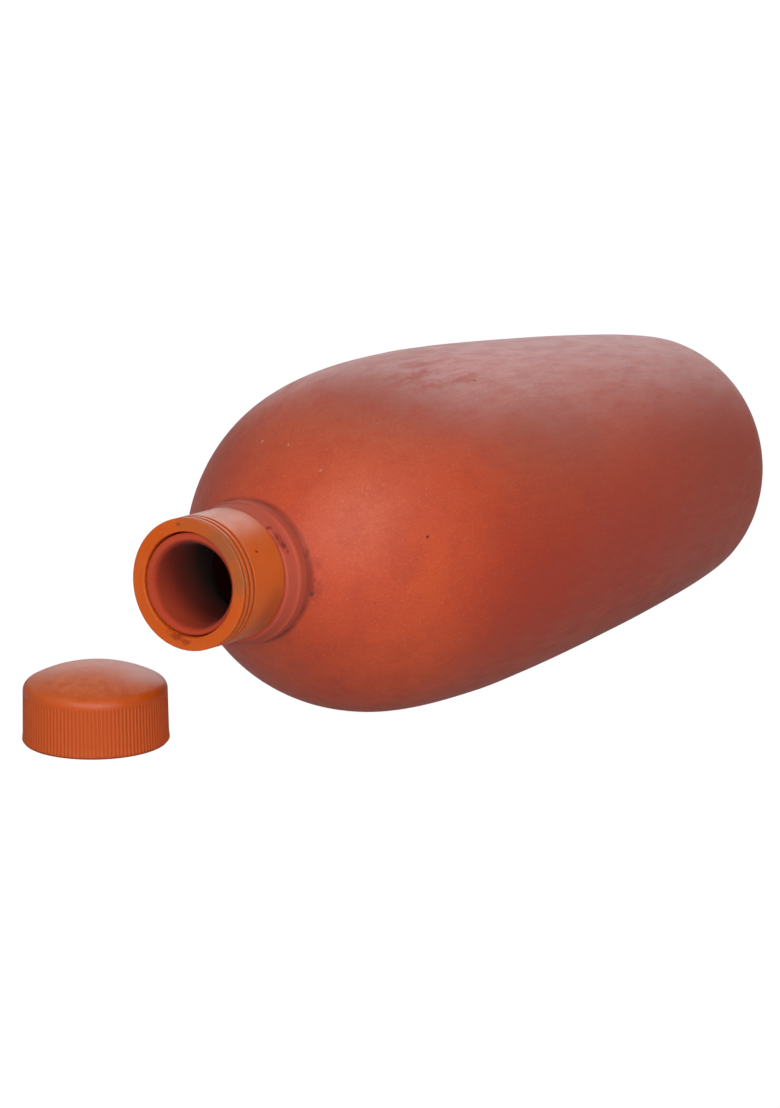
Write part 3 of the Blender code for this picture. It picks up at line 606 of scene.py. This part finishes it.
# what the finishes of the smaller pieces share: where the noise gives scuffs, with painted sheen on the
# cap's dome, and roughness, how far the roughness swings, and what a groove adds to it
plastic = {
    "ior": 1.49, "wearAndSheenNoise": (0.32, 0.72), "roughNoise": (0.3, 0.7), "roughSwing": (-0.06, 0.10),
    "grooveRoughness": 0.4, "bump": 0.6, "markCore": 0.3,
}


def buildPlastic(name, look, location, rotation):
    material, tree, shader = newMaterial(name, look["roughness"], plastic["ior"], look["specular"])
    local, _, z, radius = addPlace(tree, location, rotation)
    cloud = addNode(tree, "ShaderNodeTexNoise", None, {
        "Vector": local, "Scale": perMetre / look["cloudSize"], "Detail": 5.0, "Roughness": 0.65})
    # fine lines round the axis, left by the turned mould
    ringSpace = addNode(tree, "ShaderNodeCombineXYZ", None, {0: radius, 1: z})
    lines = addNode(tree, "ShaderNodeTexNoise", None, {
        "Vector": ringSpace, "Scale": perMetre / look["lineWidth"], "Detail": 2.0})
    # the pale tone: scuffs, and on the cap's dome painted sheen as well
    low, high = look["wearAndSheenHeights"]
    wearAndSheenZone = addNode(tree, "ShaderNodeMapRange", None, {
        "Value": z, "From Min": low, "From Max": high, "To Max": look["wearAndSheenShare"]})
    low, high = plastic["wearAndSheenNoise"]
    wearAndSheenArea = addNode(tree, "ShaderNodeMapRange", None, {
        "Value": cloud, "From Min": low, "From Max": high, "To Max": wearAndSheenZone})
    colour = layTone(tree, linear(look["colour"]), look["wearAndSheen"], wearAndSheenArea, 1.0)
    # the grooves darkened: dirt together with painted shade
    groove = addNode(tree, "ShaderNodeAttribute", {"attribute_name": "groove"}, None, "Fac")
    colour = layTone(tree, colour, look["grooveDirtAndShade"], groove, look["grooveDirtAndShadeShare"])
    height = addNode(tree, "ShaderNodeMath", {"operation": "MULTIPLY"}, {0: lines, 1: look["lineDepth"]})
    colour, height, _ = layMarks(tree, colour, height, local, look["marks"], plastic["markCore"])
    tree.links.new(colour, shader.inputs["Base Color"])
    (low, high), (less, more) = plastic["roughNoise"], plastic["roughSwing"]
    roughness = addNode(tree, "ShaderNodeMapRange", None, {
        "Value": cloud, "From Min": low, "From Max": high,
        "To Min": look["roughness"] + less, "To Max": look["roughness"] + more})
    roughness = addNode(tree, "ShaderNodeMath", {"operation": "MULTIPLY_ADD"}, {
        0: groove, 1: plastic["grooveRoughness"], 2: roughness})
    tree.links.new(roughness, shader.inputs["Roughness"])
    bump = addNode(tree, "ShaderNodeBump", None, {
        "Height": height, "Strength": plastic["bump"], "Distance": 1.0})
    tree.links.new(bump, shader.inputs["Normal"])
    return material


# neck ring, of polypropylene: injection moulded with its orange colour right through, so it is satin and
# a little soft at its edges; handling leaves pale scuffs, and the grooves are darkened with dirt and
# painted shade
ring = {
    # shape, in metres from the bottle's foot
    "outer": 0.0175, "bore": 0.0139, "pocket": 0.0150, "back": 0.2336, "lipLength": 0.003,
    "pocketEdge": 0.0002, "boreEdge": 0.0003, "faceEdge": 0.00025, "backEdge": 0.0003, "pitch": 0.002,
    "threadDepth": 0.0005, "threadLow": 0.2466, "threadHigh": 0.2522, "threadFade": 0.0006,
    "threadStep": 0.00010, "grooveWidth": 0.3, "columns": 360,
    # looks: cloud and line in mm; wear-and-sheen heights of -1 and 0 mean scuffs all over
    "colour": "#CA540E", "specular": 0.22, "roughness": 0.34, "cloudSize": 7.0,
    "wearAndSheen": "#CC7A4C", "wearAndSheenHeights": (-1, 0), "wearAndSheenShare": 0.22, "grooveDirtAndShade": "#6E2A0A",
    "grooveDirtAndShadeShare": 0.95, "lineWidth": 0.25, "lineDepth": 0.00001,
    # marks, as name: middle, reach, colour, strength, depth
    "marks": {
        "bandShade": ((0.0150, -0.0080, 0.2370), (0.0080, 0.0120, 0.0080), "#A03C0A", 0.6, 0.0),
        # painted shade that darkens the whole front face
        "paintedFaceShade": ((0.0, 0.0, 0.2530), (0.0300, 0.0300, 0.0016), "#B4480E", 0.7, 0.0),
        "brownPatch": ((0.0102, 0.0122, 0.2530), (0.0105, 0.0095, 0.0030), "#8C5432", 0.70, 0.0),
        "sidePatch": ((0.0155, 0.0036, 0.2530), (0.0040, 0.0060, 0.0028), "#94552E", 0.70, 0.0),
        "topPatch": ((0.0005, 0.0168, 0.2528), (0.0075, 0.0030, 0.0022), "#A05428", 0.55, 0.0),
        "smearOne": ((-0.0036, -0.0136, 0.2526), (0.0030, 0.0013, 0.0012), "#8A2E08", 0.85, 0.00006),
        "smearTwo": ((-0.0008, -0.0147, 0.2526), (0.0024, 0.0010, 0.0010), "#96340A", 0.8, 0.00006),
        "smearTail": ((-0.0062, -0.0124, 0.2526), (0.0016, 0.0008, 0.0010), "#A8440E", 0.7, 0.0),
        "faceMark": ((-0.0041, 0.0160, 0.2526), (0.0010, 0.0009, 0.0010), "#84400E", 0.8, 0.0001),
        "bandSpeck": ((0.0144, 0.0100, 0.2432), (0.0006, 0.0006, 0.0007), "#2C1610", 0.95, 0.0001),
    },
}


def ringProfile():
    g = ring
    top = lie["mouth"]
    corners = [
        (g["pocket"], g["back"], g["pocketEdge"], 0, 0.004),
        (g["pocket"], top - g["lipLength"], g["pocketEdge"], 0, 0.001),
        (g["bore"], top - g["lipLength"], g["pocketEdge"], 0, 0.001),
        (g["bore"], top, g["boreEdge"], 0, 0.001),
        (g["outer"], top, g["faceEdge"], -1, g["threadStep"]),
        (g["outer"], g["threadLow"], 0, -1, 0.002),
        (g["outer"], g["back"], g["backEdge"], -1, 0.001),
    ]
    return [(r * flat, mark, z) for r, mark, z in roundedPath(corners, True)]


ringPlastic = buildPlastic("moulded polypropylene ring", ring, lie["foot"], lyingTurn)
neckRing = turnPiece("neckRing", ringProfile(), neckPlace, ringPlastic, {
    "Columns": ring["columns"], "Thread Pitch": ring["pitch"], "Thread Depth": ring["threadDepth"],
    "Thread Low": ring["threadLow"], "Thread High": ring["threadHigh"],
    "Thread Fade": ring["threadFade"], "Groove Width": ring["grooveWidth"]})
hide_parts("neck_ring")
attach(neckRing, "bottle")


# adhesive between the ring and the neck: a cured bead, dull and dark with age
bond = {
    "inner": 0.0139, "outer": 0.0147, "back": 0.2336, "front": 0.2493, "edge": 0.0002, "columns": 144,
    "colour": "#6A2A1A", "specular": 0.5, "roughness": 0.6, "cloudSize": 3.0,
    "wearAndSheen": "#7A3A28", "wearAndSheenHeights": (-1, 0), "wearAndSheenShare": 0.4, "grooveDirtAndShade": "#401810",
    "grooveDirtAndShadeShare": 0.5, "lineWidth": 0.5, "lineDepth": 0.00003, "marks": {},
}
adhesive = buildPlastic("cured adhesive", bond, lie["foot"], lyingTurn)
bondCorners = [(bond[side], bond[end], bond["edge"], 0, 0.004) for side, end in (
    ("outer", "back"), ("inner", "back"), ("inner", "front"), ("outer", "front"))]
bondProfile = [(r * flat, mark, z) for r, mark, z in roundedPath(bondCorners, True)]
ringAdhesive = turnPiece("ringAdhesive", bondProfile, neckPlace, adhesive, {"Columns": bond["columns"]})
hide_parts("ring_adhesive")
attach(ringAdhesive, "bottle")


# screw cap, of the same polypropylene; its domed top is paler, partly from scuffs where fingers rub it
# and partly from painted sheen
cap = {
    # shape, in metres from its open rim
    "outer": 0.01998, "flare": 0.0002, "flareHeight": 0.0026, "flareRounding": 0.004,
    "height": 0.0212, "shoulder": 0.0141, "draft": 0.0004, "corner": 0.0029, "cornerAngle": 24,
    "bore": 0.0179, "domeWall": 0.0018, "seat": 0.0022, "seatEdge": 0.0003, "ceiling": 0.0152,
    "rimInset": 0.0005, "rimHeight": 0.0006, "rimEdges": (0.0002, 0.0001, 0.0004),
    "ribs": 112, "ribDepth": 0.00022, "ribLow": 0.0002, "ribHigh": 0.0138, "ribFade": 0.0006,
    "threadLow": 0.0074, "threadHigh": 0.0130, "threadDepth": 0.0006,
    "columns": 896, "domeRows": 16, "cornerRows": 8, "ceilingRows": 8,
    "ribEndShare": 0.16,  # share of the side where the ribs run out, which needs closer rows
    # looks
    "colour": "#C24D0A", "specular": 0.46, "roughness": 0.44, "cloudSize": 3.0,
    # the pale tone on the dome is scuffs and painted sheen; the groove tone is dirt and painted shade
    # between the ribs
    "wearAndSheen": "#F09058", "wearAndSheenHeights": (0.0150, 0.0175), "wearAndSheenShare": 0.42, "grooveDirtAndShade": "#9C400C",
    "grooveDirtAndShadeShare": 0.38, "lineWidth": 0.4, "lineDepth": 0.00001,
    "marks": {
        # painted contact shadow along the rim where the cap stands on the floor
        "rimContactShadow": ((0.0, 0.0, 0.0), (0.0300, 0.0300, 0.0013), "#4A1C0C", 0.85, 0.0),
    },
}


def capProfile():
    c = cap
    side = c["outer"] - c["draft"]
    cornerTop = math.radians(90 - c["cornerAngle"])
    startR = side - c["corner"] + c["corner"] * math.cos(cornerTop)
    startZ = c["shoulder"] + c["corner"] * math.sin(cornerTop)
    rise = c["height"] - startZ
    dome = (startR ** 2 + rise ** 2) / (2 * rise)
    corners = []
    for i in range(c["domeRows"]):
        r = startR * i / c["domeRows"]
        corners.append((r, c["height"] - dome + math.sqrt(dome ** 2 - r ** 2), 0, 1, whole))
    for i in range(c["cornerRows"] + 1):
        a = cornerTop * (1 - i / c["cornerRows"])
        corners.append((side - c["corner"] + c["corner"] * math.cos(a),
                        c["shoulder"] + c["corner"] * math.sin(a), 0, 1, 0.0004))
    endR, endZ = c["outer"] - c["flare"], c["flareHeight"]
    near = c["ribEndShare"]
    outerEdge, rimEdge, boreEdge = c["rimEdges"]
    corners += [
        (side + (endR - side) * near, c["shoulder"] + (endZ - c["shoulder"]) * near, 0, 1, 0.0014),
        (endR, endZ, c["flareRounding"], 1, 0.0006),
        (c["outer"], c["rimHeight"], outerEdge, 1, 0.0002),
        (c["outer"] - c["rimInset"], 0, rimEdge, 1, 0.001),
        (c["bore"], 0, boreEdge, 0, 0.002),
        (c["bore"], c["threadLow"], 0, -1, 0.0005),
        (c["bore"], c["threadHigh"], 0, -1, 0.001),
        (c["bore"], c["ceiling"], c["seatEdge"], 0, 0.001),
        (c["bore"] - c["seat"], c["ceiling"], c["seatEdge"], 0, 0.001),
    ]
    inner = dome - c["domeWall"]
    seat = c["bore"] - c["seat"]
    for i in range(c["ceilingRows"]):
        r = seat * (1 - i / c["ceilingRows"])
        corners.append((r, c["height"] - dome + math.sqrt(inner ** 2 - r ** 2), 0, 0, whole))
    corners.append((0, c["height"] - c["domeWall"], 0, 0, whole))
    return roundedPath(corners, False)


capPlastic = buildPlastic("moulded polypropylene cap", cap, lie["capPlace"], (0, 0, 0))
capShell = turnPiece("capShell", capProfile(), capPlace, capPlastic, {
    "Columns": cap["columns"], "Rib Count": cap["ribs"], "Rib Depth": cap["ribDepth"],
    "Rib Low": cap["ribLow"], "Rib High": cap["ribHigh"], "Rib Fade": cap["ribFade"],
    "Thread Low": cap["threadLow"], "Thread High": cap["threadHigh"],
    "Thread Depth": cap["threadDepth"]})
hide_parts("cap_shell")
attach(capShell, "cap")


# sealing disc: closed-cell foam sheet, cut out, so it is pale, dull and finely uneven
liner = {
    "radius": 0.0177, "low": 0.0134, "high": 0.0149, "edge": 0.0003, "columns": 144,
    "colour": "#E8E4DA", "specular": 0.5, "roughness": 0.75, "cloudSize": 2.0,
    "wearAndSheen": "#DAD4C8", "wearAndSheenHeights": (-1, 0), "wearAndSheenShare": 0.6, "grooveDirtAndShade": "#C8C0B0",
    "grooveDirtAndShadeShare": 0.5, "lineWidth": 0.5, "lineDepth": 0.00003, "marks": {},
}
foam = buildPlastic("cut foam sheet", liner, lie["capPlace"], (0, 0, 0))
linerCorners = [
    (0, liner["low"], 0, 0, 0.004), (liner["radius"], liner["low"], liner["edge"], 0, 0.001),
    (liner["radius"], liner["high"], liner["edge"], 0, 0.004), (0, liner["high"], 0, 0, whole)]
linerProfile = [(r * flat, mark, z) for r, mark, z in roundedPath(linerCorners, False)]
capLiner = turnPiece("capLiner", linerProfile, capPlace, foam, {"Columns": liner["columns"]})
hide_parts("cap_liner")
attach(capLiner, "liner")
print("pieces made")


# camera at the photograph's viewing angle; its place is given from the bottle's mouth, in metres
view = {"focalPixels": 5447, "fromMouth": (0.7753, -1.1213, 0.3599), "azimuth": 32.48, "pitch": 14.46,
        "roll": -0.18, "picture": (780, 1108), "sensor": 36}


def placeCamera():
    data = bpy.data.cameras.new("camera")
    camera = bpy.data.objects.new("camera", data)
    bpy.context.scene.collection.objects.link(camera)
    data.sensor_width = view["sensor"]
    data.lens = view["focalPixels"] * data.sensor_width / view["picture"][1]
    azimuth, pitch, roll = (math.radians(view[key]) for key in ("azimuth", "pitch", "roll"))
    look = Vector((-math.sin(azimuth) * math.cos(pitch), math.cos(azimuth) * math.cos(pitch),
                   -math.sin(pitch)))
    right = look.cross(Vector((0, 0, 1))).normalized()
    up = right.cross(look)
    rolledRight = right * math.cos(roll) + up * math.sin(roll)
    rolledUp = up * math.cos(roll) - right * math.sin(roll)
    turn = Matrix((rolledRight, rolledUp, -look)).transposed().to_4x4()
    mouth = bottlePlace @ Vector((0, 0, lie["mouth"]))
    turn.translation = mouth + Vector(view["fromMouth"])
    camera.matrix_world = turn
    bpy.context.scene.camera = camera


placeCamera()


# floor, lamps and world; the glow is how white the floor is to the camera and in reflections
studio = {
    "floor": "#A8A8A8", "floorHalf": 4, "floorRoughness": 0.9, "world": 0.30,
    "glow": 1.1, "glowToCamera": 0.9, "glowMirrored": 0.17,
    "aim": (0.01, -0.04, 0.05), "coolLight": (0.82, 0.94, 1.0),
    # compass direction from the back (+Y) towards the right, elevation, distance, width, height, watts
    "lamps": {
        "backSoftbox": (-22, 21, 1.5, 1.6, 1.0, 9.1),
        "backHigh": (-12, 33, 1.5, 0.7, 0.4, 2.4),
        "keySoftbox": (140, 10, 0.9, 0.4, 0.4, 3.9),
        "highSoftbox": (114, 40, 0.9, 0.35, 0.35, 1.2),
        "frontFill": (175, 22, 1.2, 0.6, 0.6, 4.6),
    },
}


def buildStudio():
    data = bpy.data.meshes.new("floor")
    far = studio["floorHalf"]
    corners = [(-far, -far, 0), (far, -far, 0), (far, far, 0), (-far, far, 0)]
    data.from_pydata(corners, [], [(0, 1, 2, 3)])
    floor = bpy.data.objects.new("floor", data)
    bpy.context.scene.collection.objects.link(floor)
    material, tree, shader = newMaterial("matt paper sweep", studio["floorRoughness"], 1.45, 0.5)
    shader.inputs["Base Color"].default_value = linear(studio["floor"])
    rays = addNode(tree, "ShaderNodeLightPath").node.outputs
    seen = addNode(tree, "ShaderNodeMath", {"operation": "MULTIPLY"}, {
        0: rays["Is Camera Ray"], 1: studio["glowToCamera"]})
    mirrored = addNode(tree, "ShaderNodeMath", {"operation": "MULTIPLY"}, {
        0: rays["Is Glossy Ray"], 1: studio["glowMirrored"]})
    share = addNode(tree, "ShaderNodeMath", {"operation": "MAXIMUM"}, {0: seen, 1: mirrored})
    glow = addNode(tree, "ShaderNodeEmission", None, {"Color": (1, 1, 1, 1), "Strength": studio["glow"]})
    mixed = addNode(tree, "ShaderNodeMixShader", None, {0: share, 1: shader.outputs[0], 2: glow})
    tree.links.new(mixed, tree.nodes["Material Output"].inputs["Surface"])
    data.materials.append(material)
    aim = Vector(studio["aim"])
    for name, (compass, elevation, distance, width, tall, watts) in studio["lamps"].items():
        lamp = bpy.data.lights.new(name, "AREA")
        lamp.shape = "RECTANGLE"
        lamp.size = width
        lamp.size_y = tall
        lamp.energy = watts
        if name.startswith("back"):
            lamp.color = studio["coolLight"]
        holder = bpy.data.objects.new(name, lamp)
        across, rise = math.radians(compass), math.radians(elevation)
        away = Vector((math.sin(across) * math.cos(rise), math.cos(across) * math.cos(rise),
                       math.sin(rise)))
        holder.location = aim + away * distance
        holder.rotation_euler = (-away).to_track_quat("-Z", "Y").to_euler()
        holder.visible_camera = False
        bpy.context.scene.collection.objects.link(holder)
    world = bpy.data.worlds.new("studio")
    bpy.context.scene.world = world
    world.use_nodes = True
    tree = world.node_tree
    background = tree.nodes["Background"]
    rays = addNode(tree, "ShaderNodeLightPath", None, None, "Is Camera Ray")
    strength = addNode(tree, "ShaderNodeMix", {"data_type": "FLOAT"}, {
        0: rays, 2: studio["world"], 3: 1.0})
    tree.links.new(strength, background.inputs["Strength"])
    background.inputs["Color"].default_value = (1, 1, 1, 1)
    bpy.context.scene.view_settings.view_transform = "Standard"


buildStudio()
print("studio ready")
